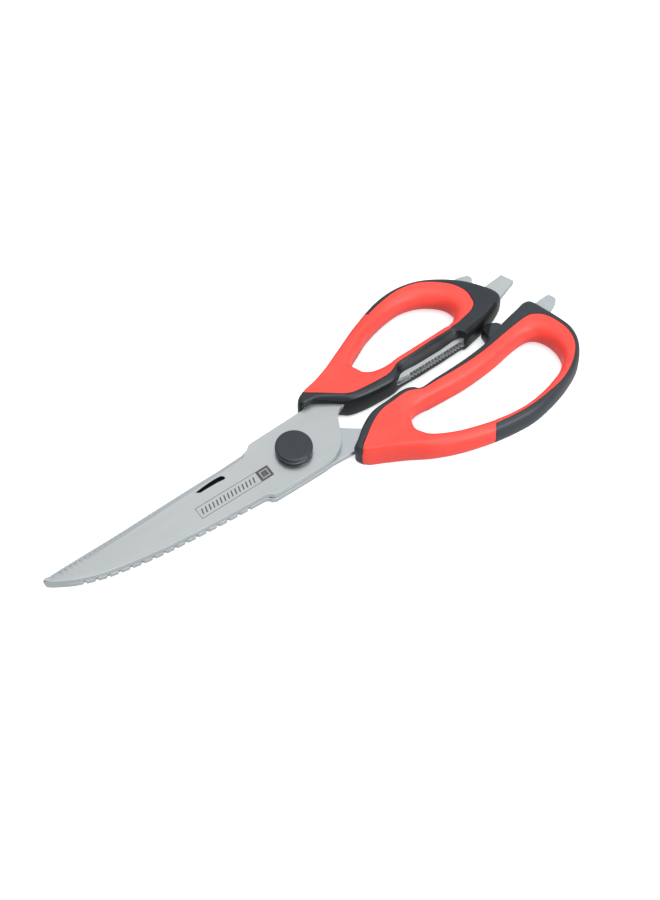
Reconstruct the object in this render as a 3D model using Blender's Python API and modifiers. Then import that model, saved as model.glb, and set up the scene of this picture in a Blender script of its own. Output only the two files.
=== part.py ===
"""Poultry shears: two ground steel blades crossed on a pivot bolt, each with a
black core handle and a soft red over-mould.

Frame: origin on the pivot axis, at the plane the shears rest on.
+X runs towards the blade tips, +Z up through the pivot knob, so the thumb
handle lies on -Y and the finger handle on +Y.  Metres.
"""
import math

import bmesh
import bpy
from mathutils import Vector

MM = 0.001

# ----------------------------------------------------------- driving sizes (mm)
MID_Z = 6.0             # mid-plane of both handles
HALF_T = 6.0            # half thickness of a handle
GRIP_SKIN = 1.8         # thickness of the red over-mould
GRIP_GAP = 0.25         # clearance between over-mould and core
REAR_Z = (3.5, 5.9)     # rear blade, its flat side up
FRONT_Z = (6.1, 8.5)    # front blade, its flat side down
TANG_GAP = 0.2          # clearance of a tang in its core, in plan and in height
BOLT_R = 3.0
BOLT_HOLE_R = 3.1
HEAD_R = 4.6
NUT_FLATS = 7.0
KNOB_R = 7.05
CAP_R = 6.6
PEELER_Z = (5.0, 9.5)
RED_POINTS = 6          # points from the parting line to the hole, over the top
RIM_POINTS = 4          # points from the parting line to the outer side
LONG_SPAN = 6.5         # spokes further apart than this get a section between them
WRAP = 0.035            # parting place where red closes round the outer side

COLL = bpy.data.collections.new("poultry_shears")
CUTTERS = bpy.data.collections.new("poultry_shears_cutters")


# ------------------------------------------------------------------- helpers
def start():
    for ob in list(bpy.data.objects):
        bpy.data.objects.remove(ob, do_unlink=True)
    for me in list(bpy.data.meshes):
        bpy.data.meshes.remove(me)
    bpy.context.scene.collection.children.link(COLL)
    bpy.context.scene.collection.children.link(CUTTERS)


def material(name, colour, rough, metallic=0.0):
    mat = bpy.data.materials.new(name)
    mat.use_nodes = True
    bsdf = mat.node_tree.nodes["Principled BSDF"]
    bsdf.inputs["Base Color"].default_value = (*colour, 1.0)
    bsdf.inputs["Roughness"].default_value = rough
    bsdf.inputs["Metallic"].default_value = metallic
    return mat


def add(name, bm, mat=None, cutter=False, smooth=None):
    bmesh.ops.recalc_face_normals(bm, faces=bm.faces[:])
    me = bpy.data.meshes.new(name)
    bm.to_mesh(me)
    bm.free()
    ob = bpy.data.objects.new(name, me)
    if mat:
        me.materials.append(mat)
    if smooth is not None:
        me.shade_smooth()
        me.set_sharp_from_angle(angle=math.radians(smooth))
    if cutter:
        CUTTERS.objects.link(ob)
        ob.hide_render = True
        ob.display_type = "WIRE"
    else:
        COLL.objects.link(ob)
    return ob


def boolean(ob, other, operation="DIFFERENCE"):
    mod = ob.modifiers.new(operation.lower() + "_" + other.name, "BOOLEAN")
    mod.object = other
    mod.operation = operation
    mod.solver = "EXACT"
    return mod


def catmull(points, steps, closed=False):
    """Centripetal Catmull-Rom through rows of equal length; the first two
    numbers of a row are its place in plan, the rest ride along."""
    n = len(points)
    rows = []
    last = n if closed else n - 1
    for i in range(last):
        if closed:
            p0, p1, p2, p3 = (points[(i + k - 1) % n] for k in range(4))
        else:
            p1, p2 = points[i], points[i + 1]
            p0 = points[i - 1] if i else [2 * a - b for a, b in zip(p1, p2)]
            p3 = points[i + 2] if i + 2 < n else [2 * b - a for a, b in zip(p1, p2)]
        t = [0.0]
        for a, b in ((p0, p1), (p1, p2), (p2, p3)):
            t.append(t[-1] + max(math.dist(a[:2], b[:2]), 1e-6) ** 0.5)
        for k in range(steps):
            x = t[1] + (t[2] - t[1]) * k / steps
            row = []
            for a0, a1, a2, a3 in zip(p0, p1, p2, p3):
                b1 = a0 + (a1 - a0) * (x - t[0]) / (t[1] - t[0])
                b2 = a1 + (a2 - a1) * (x - t[1]) / (t[2] - t[1])
                b3 = a2 + (a3 - a2) * (x - t[2]) / (t[3] - t[2])
                c1 = b1 + (b2 - b1) * (x - t[0]) / (t[2] - t[0])
                c2 = b2 + (b3 - b2) * (x - t[1]) / (t[3] - t[1])
                row.append(c1 + (c2 - c1) * (x - t[1]) / (t[2] - t[1]))
            rows.append(row)
    if not closed:
        rows.append(list(points[-1]))
    return rows


def prism(name, outline, z0, z1, mat=None, cutter=False):
    """A flat outline filled and raised from z0 to z1."""
    bm = bmesh.new()
    ring = [bm.verts.new((x * MM, y * MM, z0 * MM)) for x, y in outline]
    face = bm.faces.new(ring)
    up = bmesh.ops.extrude_face_region(bm, geom=[face])
    bmesh.ops.translate(bm, vec=Vector((0, 0, (z1 - z0) * MM)),
                        verts=[g for g in up["geom"] if isinstance(g, bmesh.types.BMVert)])
    return add(name, bm, mat, cutter)


def cylinder(name, r, z0, z1, mat=None, cutter=False, seg=48):
    bm = bmesh.new()
    bmesh.ops.create_cone(bm, cap_ends=True, segments=seg, radius1=r * MM, radius2=r * MM,
                          depth=(z1 - z0) * MM)
    bmesh.ops.translate(bm, vec=Vector((0, 0, (z0 + z1) / 2 * MM)), verts=bm.verts[:])
    return add(name, bm, mat, cutter)


def turned(name, profile, mat, seg=48, closed=False):
    """A profile (radius, height) run down its outer side, turned about Z."""
    me = bpy.data.meshes.new(name)
    verts = [(r * MM, 0.0, z * MM) for r, z in profile]
    edges = [(i, i + 1) for i in range(len(verts) - 1)]
    if closed:
        edges.append((len(verts) - 1, 0))
    me.from_pydata(verts, edges, [])
    me.materials.append(mat)
    ob = bpy.data.objects.new(name, me)
    COLL.objects.link(ob)
    mod = ob.modifiers.new("turn", "SCREW")
    mod.axis = "Z"
    mod.angle = math.tau
    mod.steps = mod.render_steps = seg
    mod.use_merge_vertices = True
    mod.merge_threshold = 0.00001
    return ob


# -------------------------------------------------------------- ground blanks
def left_normal(a, b):
    d = (Vector(b[:2]) - Vector(a[:2])).normalized()
    return Vector((-d.y, d.x))


def ground_edge(points, steps, grind, teeth=None):
    """One stretch of a blank's edge, drawn anticlockwise, so the steel lies on
    its left.  grind is (width, depth) at its start and at its end: how far the
    ground side is set in, and how much of the plate's height it takes.
    teeth is (x0, x1, pitch, depth, land)."""
    (w0, d0), (w1, d1) = grind
    curve = catmull([list(p) for p in points], steps)
    lengths = [0.0]
    for a, b in zip(curve, curve[1:]):
        lengths.append(lengths[-1] + math.dist(a, b))
    total = lengths[-1]

    def at(s):
        s = min(max(s, 0.0), total)
        i = max(j for j in range(len(lengths) - 1) if lengths[j] <= s + 1e-9)
        f = (s - lengths[i]) / (lengths[i + 1] - lengths[i])
        a, b = Vector(curve[i]), Vector(curve[i + 1])
        lo, hi = max(i - 1, 0), min(i + 2, len(curve) - 1)
        return a.lerp(b, f), left_normal(curve[lo], curve[hi])

    stations = [(s, 0.0) for s in lengths]
    if teeth:
        s0, s1, pitch, depth, land = teeth
        stations = [(s, 0.0) for s in lengths if s < s0 - 0.6 or s > s1 + 0.6]
        s = s0
        while s + pitch <= s1 + 1e-6:
            stations += [(s, 0.0), (s + pitch * land, 0.0),
                         (s + pitch * (land + 0.12), depth), (s + pitch * 0.88, depth)]
            s += pitch
        stations.append((s, 0.0))
        stations.sort(key=lambda e: e[0])
    out = []
    for s, cut in stations:
        p, n = at(s)
        f = s / total
        width, drop = w0 + (w1 - w0) * f, d0 + (d1 - d0) * f
        out.append((p + n * cut, p + n * max(width, cut + 0.05), drop))
    return out


def blank(name, stretches, flat_z, ground_z, mat):
    """A stamped blank: flat on one side, ground along its edges on the other."""
    rows = []
    for stretch in stretches:
        for row in stretch:
            if rows and (row[0] - rows[-1][0]).length < 0.02:
                continue
            rows.append(row)
    if (rows[0][0] - rows[-1][0]).length < 0.02:
        rows.pop()
    side = 1 if ground_z > flat_z else -1
    bm = bmesh.new()
    flat = [bm.verts.new((e.x * MM, e.y * MM, flat_z * MM)) for e, t, d in rows]
    edge = [bm.verts.new((e.x * MM, e.y * MM, (ground_z - side * d) * MM)) for e, t, d in rows]
    top = [bm.verts.new((t.x * MM, t.y * MM, ground_z * MM)) for e, t, d in rows]
    n = len(rows)
    for lower, upper in ((flat, edge), (edge, top)):
        for i in range(n):
            j = (i + 1) % n
            bm.faces.new((lower[i], lower[j], upper[j], upper[i]))
    bm.faces.new(flat)
    bm.faces.new(top)
    return add(name, bm, mat)


# ------------------------------------------------------------ handle sections
# One spoke of a handle: outer point x, y; hole point x, y; parting place f (the
# share of the way from the outer side to the hole where black gives way to red,
# or 0 where red closes round the outer side); corner powers of the outer and of
# the hole side; half thickness; lean (how far the top of the outer side stands
# out past the mid-plane, or back where negative).
FINGER_SPOKES = [
    (-18.9, 12.3, -43.8, 15.6, 0.12, 3.4, 2.6, 5.8, 1.0),
    (-20.3, 15.2, -43.9, 17.0, 0.00, 3.0, 2.6, 5.8, 0.5),
    (-26.3, 17.8, -44.9, 18.8, 0.00, 4.0, 2.6, 6.0, 0.0),
    (-34.0, 21.6, -46.4, 20.6, 0.00, 3.4, 2.6, 6.0, 0.0),
    (-43.2, 26.9, -50.2, 22.9, 0.00, 3.0, 2.6, 5.9, 0.0),
    (-53.3, 30.8, -56.6, 25.3, 0.00, 2.6, 2.4, 5.7, 0.0),
    (-63.2, 33.1, -63.9, 27.1, 0.00, 2.4, 2.4, 5.6, 0.0),
    (-66.2, 33.6, -66.4, 27.6, 0.00, 2.4, 2.4, 5.5, 0.0),
    (-68.4, 33.9, -68.8, 28.0, 0.50, 2.4, 2.4, 5.5, 0.0),
    (-76.0, 34.4, -75.5, 28.8, 0.55, 2.4, 2.4, 5.5, 0.0),
    (-84.8, 34.2, -83.0, 28.8, 0.57, 2.4, 2.4, 5.5, 0.0),
    (-93.9, 32.0, -90.2, 27.6, 0.49, 2.4, 2.4, 5.5, 0.0),
    (-103.3, 28.3, -96.4, 25.8, 0.33, 2.6, 2.4, 5.7, 0.0),
    (-111.4, 23.2, -102.8, 22.9, 0.33, 3.0, 2.4, 5.9, 0.0),
    (-116.6, 16.3, -107.4, 18.2, 0.29, 3.4, 2.4, 6.0, 0.0),
    (-118.2, 9.5, -108.6, 13.0, 0.30, 3.4, 2.4, 6.0, 0.0),
    (-116.5, 2.3, -108.1, 8.6, 0.31, 3.4, 2.4, 6.0, 0.0),
    (-114.2, -3.3, -106.5, 5.2, 0.36, 3.6, 2.4, 6.0, 0.0),
    (-111.4, -9.2, -104.6, 3.4, 0.52, 4.0, 2.4, 6.0, 0.0),
    (-109.0, -9.9, -102.9, 2.7, 0.55, 4.0, 2.4, 6.0, 0.0),
    (-105.0, -8.8, -100.6, 2.4, 0.55, 4.0, 2.6, 6.0, 0.0),
    (-96.0, -6.1, -95.0, 3.3, 0.52, 4.5, 2.6, 6.0, 0.0),
    (-85.0, -1.7, -86.0, 5.5, 0.39, 4.5, 2.6, 6.0, 0.0),
    (-78.7, -0.4, -79.0, 6.8, 0.37, 4.5, 2.6, 6.0, 0.0),
    (-70.7, 0.7, -71.0, 7.8, 0.34, 4.5, 2.6, 6.0, 0.0),
    (-60.6, 1.6, -62.0, 8.1, 0.30, 4.5, 2.6, 6.0, 0.0),
    (-53.4, 2.3, -54.5, 8.1, 0.26, 4.5, 2.6, 6.0, 0.0),
    (-51.0, 0.2, -52.0, 8.1, 0.34, 4.5, 2.6, 6.0, 0.0),
    (-47.9, -0.5, -49.5, 8.3, 0.28, 4.5, 2.6, 6.0, 0.0),
    (-40.2, 0.5, -46.5, 9.1, 0.26, 4.5, 2.6, 6.0, 0.0),
    (-33.2, 1.8, -44.7, 10.7, 0.23, 4.5, 2.6, 6.0, 0.3),
    (-27.0, 5.3, -44.2, 12.6, 0.18, 4.5, 2.6, 6.0, 0.6),
    (-22.0, 9.9, -44.0, 14.2, 0.15, 5.0, 2.6, 6.0, 1.0),
]
THUMB_SPOKES = [
    (-11.6, -14.4, -38.8, -18.6, 0.28, 4.5, 2.6, 6.0, 0.0),
    (-11.9, -16.9, -38.3, -19.8, 0.22, 4.0, 2.6, 6.0, 0.0),
    (-14.4, -18.6, -38.0, -20.7, 0.05, 4.0, 2.6, 6.0, 0.0),
    (-20.4, -20.3, -39.2, -22.5, 0.00, 4.0, 2.6, 6.0, 0.0),
    (-27.6, -23.4, -42.2, -24.9, 0.00, 3.6, 2.6, 6.0, 0.0),
    (-36.2, -28.3, -46.2, -27.1, 0.00, 3.2, 2.6, 6.0, 0.0),
    (-44.8, -33.3, -50.7, -29.7, 0.00, 3.0, 2.4, 6.0, 0.0),
    (-50.4, -36.1, -54.2, -31.1, 0.00, 2.8, 2.4, 5.9, 0.0),
    (-54.5, -37.8, -56.8, -32.0, 0.30, 2.8, 2.4, 5.9, 0.0),
    (-62.0, -40.3, -62.0, -33.3, 0.32, 2.8, 2.3, 5.8, 0.0),
    (-71.0, -41.5, -69.0, -34.2, 0.26, 2.8, 2.3, 5.8, 0.0),
    (-79.8, -40.3, -75.5, -32.8, 0.21, 2.8, 2.3, 5.8, 0.0),
    (-87.7, -36.6, -80.0, -30.2, 0.25, 3.0, 2.3, 5.9, 0.0),
    (-94.3, -31.6, -83.2, -27.4, 0.37, 3.4, 2.3, 6.0, 0.0),
    (-99.5, -25.7, -84.6, -24.5, 0.47, 3.6, 2.3, 6.0, 0.0),
    (-102.9, -20.3, -84.8, -21.8, 0.58, 3.6, 2.3, 6.0, 0.0),
    (-103.3, -17.0, -83.8, -20.0, 0.59, 3.4, 2.3, 6.0, 0.0),
    (-99.7, -14.2, -82.3, -18.4, 0.60, 3.2, 2.3, 6.0, 0.0),
    (-93.6, -11.3, -80.8, -17.4, 0.66, 3.2, 2.3, 6.0, 0.0),
    (-86.7, -9.2, -79.3, -16.9, 0.68, 3.6, 2.3, 6.0, 0.0),
    (-82.2, -8.2, -78.0, -16.4, 0.72, 4.5, 2.3, 6.0, 0.0),
    (-80.6, -9.2, -77.0, -16.2, 0.68, 4.5, 2.3, 6.0, -2.6),
    (-70.0, -7.6, -69.0, -15.4, 0.69, 4.5, 2.3, 6.0, -3.4),
    (-60.0, -6.8, -60.0, -14.7, 0.64, 4.5, 2.3, 6.0, -3.6),
    (-51.8, -6.4, -52.0, -13.8, 0.62, 4.5, 2.3, 6.0, -3.4),
    (-50.2, -6.0, -50.2, -13.9, 0.60, 4.5, 2.3, 6.0, -1.2),
    (-47.6, -5.3, -47.6, -13.8, 0.50, 4.5, 2.4, 6.0, 0.0),
    (-42.0, -4.9, -44.0, -14.1, 0.45, 4.5, 2.6, 6.0, 0.0),
    (-34.0, -5.0, -41.6, -15.0, 0.39, 4.5, 2.6, 6.0, -0.3),
    (-27.9, -6.0, -40.0, -16.2, 0.32, 4.5, 2.6, 6.0, -0.8),
    (-25.4, -7.6, -39.5, -17.3, 0.26, 4.5, 2.6, 6.0, -1.2),
    (-20.6, -11.0, -39.2, -17.9, 0.20, 4.5, 2.6, 6.0, -1.0),
    (-15.6, -13.9, -39.1, -18.3, 0.22, 4.5, 2.6, 6.0, -0.6),
]


CORNER_OUT, CORNER_IN = 4.0, 5.0      # longest reach of a section's rounding, in plan
Q_OUT, Q_IN = 0.42, 0.58              # q: 0 on the outer side, 1 at the hole; flat top between


def corner(share, power):
    """A superellipse's corner: how far out and how high at a share of 90 degrees."""
    share = min(max(share, 0.0), 1.0)
    c, h = max(math.cos(share * math.pi / 2), 0.0), math.sin(share * math.pi / 2)
    size = (c ** power + h ** power) ** (-1 / power)
    return c * size, h * size


def section_point(row, q, inset, under=False):
    """A point of a handle's section; inset shrinks the section evenly."""
    sx, sy, hx, hy, _, n_out, n_in, b, lean, a_in = row[:10]
    width = math.dist((sx, sy), (hx, hy))
    a_out = min(width / 2, CORNER_OUT)
    rise = 1.0
    if q < Q_OUT:
        reach, rise = corner(q / Q_OUT, n_out)
        t = inset + max(a_out - inset, 0.2) * (1 - reach)
    elif q > Q_IN:
        reach, rise = corner((1 - q) / (1 - Q_IN), n_in)
        t = width - inset - max(a_in - inset, 0.2) * (1 - reach)
    else:
        t = a_out + (width - a_in - a_out) * (q - Q_OUT) / (Q_IN - Q_OUT)
    z = (b - inset) * rise
    if not under:
        t -= lean * z / HALF_T * (1 - t / width)
    return sx + (hx - sx) * t / width, sy + (hy - sy) * t / width, MID_Z + (-z if under else z)


def inner_reach(row):
    """How far the rounding of the hole side reaches: not past the red."""
    width = math.dist(row[0:2], row[2:4])
    return min(width / 2, CORNER_IN, max(2.0, 1.15 * (1 - row[4]) * width))


def parting_q(row):
    """Where on the section black gives way to red: the spoke's share of the
    width, or WRAP where red closes round the outer side too."""
    share = row[4]
    if share <= 0:
        return WRAP
    lo, hi = 0.0, 1.0
    for _ in range(30):
        mid = (lo + hi) / 2
        x, y, _ = section_point(row, mid, 0.0)
        if math.dist((x, y), row[0:2]) < share * math.dist(row[0:2], row[2:4]):
            lo = mid
        else:
            hi = mid
    return lo


def step_back(row, q, distance):
    """Move along the surface towards the outer side by a distance."""
    start = Vector(section_point(row, q, 0.0))
    moved = q
    while moved > 0.006:
        moved -= 0.002
        if (Vector(section_point(row, moved, 0.0)) - start).length >= distance:
            break
    return moved


def spread(a, b, count):
    return [a + (b - a) * i / (count - 1) for i in range(count)]


def skin_depth(row):
    width = math.dist(row[0:2], row[2:4])
    return min(GRIP_SKIN, 0.27 * width)


def there_and_back(row, qs, inset):
    """Points over the top for each q, then underneath in reverse."""
    top = [section_point(row, q, inset) for q in qs]
    low = [section_point(row, q, inset, True) for q in reversed(qs)]
    return top + (low[1:] if qs[-1] == 1.0 else low)


def grip_section(row):
    """The red channel: over the top, round the hole side, back underneath."""
    qs = spread(row[4], 1.0, RED_POINTS)
    return there_and_back(row, qs, 0.0) + there_and_back(row, qs, skin_depth(row))[::-1]


def core_section(row):
    """The black core: its rim on the outer side and its web inside the red."""
    edge = step_back(row, row[4], 2 * GRIP_GAP + 5.4 * row[10])
    rim = [section_point(row, q, 0.0, True) for q in spread(edge, 0.0, RIM_POINTS)]
    rim += [section_point(row, q, 0.0) for q in spread(0.0, edge, RIM_POINTS)[1:]]
    qs = [edge] + spread(row[4], 1.0, RED_POINTS)[1:]
    return rim + there_and_back(row, qs, skin_depth(row) + GRIP_GAP + 2.2 * row[10])


def ring_loft(name, spokes, section, mat):
    """Sections set round the finger hole and skinned into a closed ring."""
    spokes = [list(s) for s in spokes]
    for s in spokes:
        s.append(inner_reach(s))
        s[4] = parting_q(s)
    fine = catmull(spokes, 2, closed=True)
    rows = []
    for i, spoke in enumerate(spokes):
        rows.append(fine[2 * i])
        after = spokes[(i + 1) % len(spokes)]
        if math.dist(spoke[:2], after[:2]) > LONG_SPAN or abs(spoke[4] - after[4]) > 0.2:
            rows.append(fine[2 * i + 1])
    for row in rows:
        row[4] = min(max(row[4], WRAP), 0.9)
    for i, row in enumerate(rows):      # where the parting line runs steeply, the core stands back
        row.append(max(abs(row[4] - rows[i - 1][4]), abs(row[4] - rows[(i + 1) % len(rows)][4])))
    bm = bmesh.new()
    rings = []
    for row in rows:
        rings.append([bm.verts.new((x * MM, y * MM, z * MM)) for x, y, z in section(row)])
    n, m = len(rings), len(rings[0])
    for i in range(n):
        a, b = rings[i], rings[(i + 1) % n]
        for j in range(m):
            k = (j + 1) % m
            bm.faces.new((a[j], a[k], b[k], b[j]))
    return add(name, bm, mat, smooth=40)


def offset_outline(outline, distance):
    """Grow a plan outline (anticlockwise) by a distance, corner by corner."""
    n = len(outline)
    out = []
    for i in range(n):
        p0, p1, p2 = outline[i - 1], outline[i], outline[(i + 1) % n]
        n1, n2 = -left_normal(p0, p1), -left_normal(p1, p2)
        m = (n1 + n2)
        m = m / max(m.length_squared / 2, 0.6)
        out.append((p1[0] + m.x * distance, p1[1] + m.y * distance))
    return out


# ------------------------------------------------------------ plan of the tangs
FRONT_TANG_LOWER = [(-11.0, -13.3), (-14.5, -14.6), (-20.0, -13.8), (-28.0, -12.2), (-40.0, -11.4),
                    (-50.0, -11.5), (-60.0, -11.9), (-70.0, -12.5), (-80.0, -13.3), (-86.0, -16.4),
                    (-92.0, -20.2), (-97.0, -23.6), (-101.0, -25.0), (-110.0, -26.5)]
FRONT_TANG_END = [(-110.0, -26.5), (-112.5, -21.6), (-103.5, -17.7), (-98.0, -16.6), (-92.0, -14.0),
                  (-86.0, -11.4), (-82.5, -10.2), (-80.9, -8.8)]
FRONT_JAW = [(-80.2, -7.4), (-66.0, -6.2), (-55.0, -5.4), (-49.3, -5.3)]
FRONT_TANG_UPPER = [(-47.6, -6.6), (-45.0, -6.9), (-38.0, -6.9), (-31.0, -7.3), (-25.6, -7.4), (-23.4, -6.2),
                    (-22.2, -5.0), (-21.2, -3.3), (-20.0, -0.2)]
REAR_TANG_LOWER = [(-120.9, -10.9), (-114.5, -9.8), (-108.0, -7.9), (-96.0, -4.4), (-85.0, -0.7),
                   (-78.0, 1.3), (-70.0, 2.7), (-60.0, 3.5), (-53.5, 3.5), (-48.0, 1.8), (-40.0, 2.0),
                   (-34.0, 3.7), (-30.3, 5.6), (-26.8, 3.5), (-22.5, 0.5), (-20.4, -0.9), (-19.4, -1.6)]
REAR_TANG_UPPER = [(-17.6, 10.8), (-21.5, 10.7), (-27.0, 9.9), (-34.0, 8.0), (-41.0, 6.3),
                   (-49.0, 5.2), (-60.0, 5.3), (-70.0, 4.9), (-78.0, 3.8), (-86.0, 2.3),
                   (-96.0, -0.4), (-106.0, -1.6), (-112.0, -2.4), (-117.2, -3.4)]
REAR_TIP = [(-117.2, -3.4), (-122.2, -6.7), (-123.0, -8.2), (-121.9, -10.4), (-120.9, -10.9)]
LIFTER = [(-97.2, -28.4), (-99.3, -30.7), (-99.4, -32.1), (-98.5, -33.1), (-93.0, -34.1),
          (-90.6, -32.4), (-94.2, -27.6)]
LINE = (0.25, 0.12), (0.25, 0.12)      # a plain broken edge


def main():
    start()
    steel = material("satin_steel", (0.60, 0.62, 0.63), 0.35, 1.0)
    bolt_steel = material("bolt_steel", (0.45, 0.46, 0.48), 0.3, 1.0)
    black = material("black_plastic", (0.045, 0.055, 0.065), 0.45)
    red = material("red_overmould", (0.83, 0.10, 0.08), 0.55)

    # front blade, handle at -Y: fine-toothed cutting edge on -Y, plain back
    front = [
        ground_edge([(-10.0, -13.3), (-5.0, -12.8), (5.0, -11.8), (12.4, -11.0)], 1, LINE),
        ground_edge([(13.4, -10.6), (14.6, -9.3), (15.8, -8.8)], 1, LINE),
        ground_edge([(17.5, -8.6), (30.0, -7.3), (40.0, -6.4), (50.0, -5.5), (60.0, -4.6),
                     (70.0, -3.7), (80.0, -2.8), (90.0, -2.0), (98.0, -1.4), (101.0, -1.2)], 2,
                    ((1.2, 1.6), (3.0, 2.0)), teeth=(28.4, 81.5, 2.1, 0.4, 0.5)),
        ground_edge([(103.4, -0.9), (104.5, -0.2), (104.0, 0.5)], 1, ((1.0, 1.6), (0.8, 1.2))),
        ground_edge([(103.0, 1.3), (100.0, 3.0), (95.0, 5.3), (90.0, 7.0), (85.0, 8.3), (80.0, 9.1),
                     (70.0, 10.3), (60.0, 11.0), (50.0, 11.25), (40.0, 11.3), (30.0, 11.2),
                     (18.6, 11.0)], 2, LINE),
        ground_edge([(17.3, 11.2), (16.5, 12.2), (15.4, 12.8)], 1, LINE),
        ground_edge([(13.5, 12.8), (8.3, 12.4), (-1.7, 11.9), (-6.7, 11.4), (-11.7, 10.1),
                     (-15.8, 7.3), (-18.4, 3.5)], 2, LINE),
        ground_edge(list(reversed(FRONT_TANG_UPPER)), 1, LINE),
        ground_edge(list(reversed(FRONT_JAW)), 2, ((1.1, 1.7), (1.1, 1.7)),
                    teeth=(5.2, 30.3, 1.45, 0.5, 0.3)),
        ground_edge(list(reversed(FRONT_TANG_END)), 1, LINE),
        ground_edge(list(reversed(FRONT_TANG_LOWER)), 1, LINE),
    ]
    front_blade = blank("front_blade", front, FRONT_Z[0], FRONT_Z[1], steel)

    # rear blade, handle at +Y: coarse-toothed cutting edge on +Y, plain back
    rear = [
        ground_edge([(-19.0, -1.8), (-16.6, -6.4), (-13.0, -9.9), (-8.0, -12.2), (0.0, -12.0),
                     (12.4, -10.9)], 1, LINE),
        ground_edge([(13.6, -10.6), (15.0, -9.8), (16.4, -9.5)], 1, LINE),
        ground_edge([(20.3, -9.0), (26.7, -8.4), (37.7, -7.6), (48.8, -6.6), (60.0, -5.5),
                     (69.0, -4.6), (79.0, -3.8), (87.0, -3.2), (95.0, -2.6), (100.0, -2.1)], 2, LINE),
        ground_edge([(102.8, -1.6), (104.0, -0.8), (103.6, 0.5)], 1, ((0.6, 0.8), (0.8, 1.2))),
        ground_edge([(102.0, 1.8), (95.0, 5.5), (85.0, 8.6), (78.0, 9.7), (70.0, 10.6),
                     (60.0, 11.3), (50.0, 11.6), (40.0, 11.6), (30.0, 11.5), (18.8, 11.3)], 2,
                    ((1.2, 0.9), (1.2, 0.9)), teeth=(8.0, 80.5, 4.4, 0.85, 0.5)),
        ground_edge([(17.6, 11.5), (16.8, 12.6)], 1, LINE),
        ground_edge([(15.4, 13.1), (10.0, 12.8), (0.0, 12.1), (-6.0, 11.6), (-10.0, 11.0)], 1, LINE),
        ground_edge(REAR_TANG_UPPER, 1, LINE),
        ground_edge(REAR_TIP, 1, ((0.5, 0.5), (0.5, 0.5))),
        ground_edge(REAR_TANG_LOWER, 1, LINE),
    ]
    rear_blade = blank("rear_blade", rear, REAR_Z[1], REAR_Z[0], steel)

    bolt_hole = cylinder("bolt_hole", BOLT_HOLE_R, 1.0, 11.0, cutter=True, seg=48)
    boolean(front_blade, bolt_hole)
    boolean(rear_blade, bolt_hole)
    slot = prism("peeler_slot", [(29.2, -4.6), (33.6, -4.4), (39.9, -3.3), (38.6, -2.3),
                                 (31.2, -2.8), (28.0, -2.7), (27.5, -3.2), (28.1, -4.3)], *PEELER_Z, cutter=True)
    boolean(front_blade, slot)

    # handles
    thumb_core = ring_loft("thumb_core", THUMB_SPOKES, core_section, black)
    thumb_grip = ring_loft("thumb_grip", THUMB_SPOKES, grip_section, red)
    finger_core = ring_loft("finger_core", FINGER_SPOKES, core_section, black)
    finger_grip = ring_loft("finger_grip", FINGER_SPOKES, grip_section, red)

    # stop block on the finger core, bearing on the thumb core when shut
    stop = prism("stop_block", [(-87.6, 0.0), (-97.0, -3.6), (-96.2, -8.6), (-92.5, -10.3),
                                (-87.9, -9.15)], 2.2, 8.6, cutter=True)
    boolean(finger_core, stop, "UNION")

    # pockets for the tangs and for the lid lifter
    front_tang = [tuple(p) for p in FRONT_TANG_UPPER[::-1][2:]] + [tuple(p) for p in FRONT_JAW[::-1]] \
        + [tuple(p) for p in FRONT_TANG_END[::-1]] + [tuple(p) for p in FRONT_TANG_LOWER[::-1][1:]]
    front_pocket = prism("front_pocket", offset_outline(front_tang + [(-8.0, -12.0)], TANG_GAP),
                         FRONT_Z[0] - TANG_GAP, FRONT_Z[1] + TANG_GAP, cutter=True)
    boolean(thumb_core, front_pocket)
    rear_tang = [(-12.0, 10.9)] + [tuple(p) for p in REAR_TANG_UPPER] + [tuple(p) for p in REAR_TIP[1:]] \
        + [tuple(p) for p in REAR_TANG_LOWER[1:]]
    rear_pocket = prism("rear_pocket", offset_outline(rear_tang, TANG_GAP),
                        REAR_Z[0] - TANG_GAP, REAR_Z[1] + TANG_GAP, cutter=True)
    boolean(finger_core, rear_pocket)
    prism("lifter_tip", LIFTER, FRONT_Z[0], FRONT_Z[1], steel)
    lifter_pocket = prism("lifter_pocket", offset_outline(LIFTER, TANG_GAP),
                          FRONT_Z[0] - TANG_GAP, FRONT_Z[1] + TANG_GAP, cutter=True)
    boolean(thumb_core, lifter_pocket)

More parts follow.
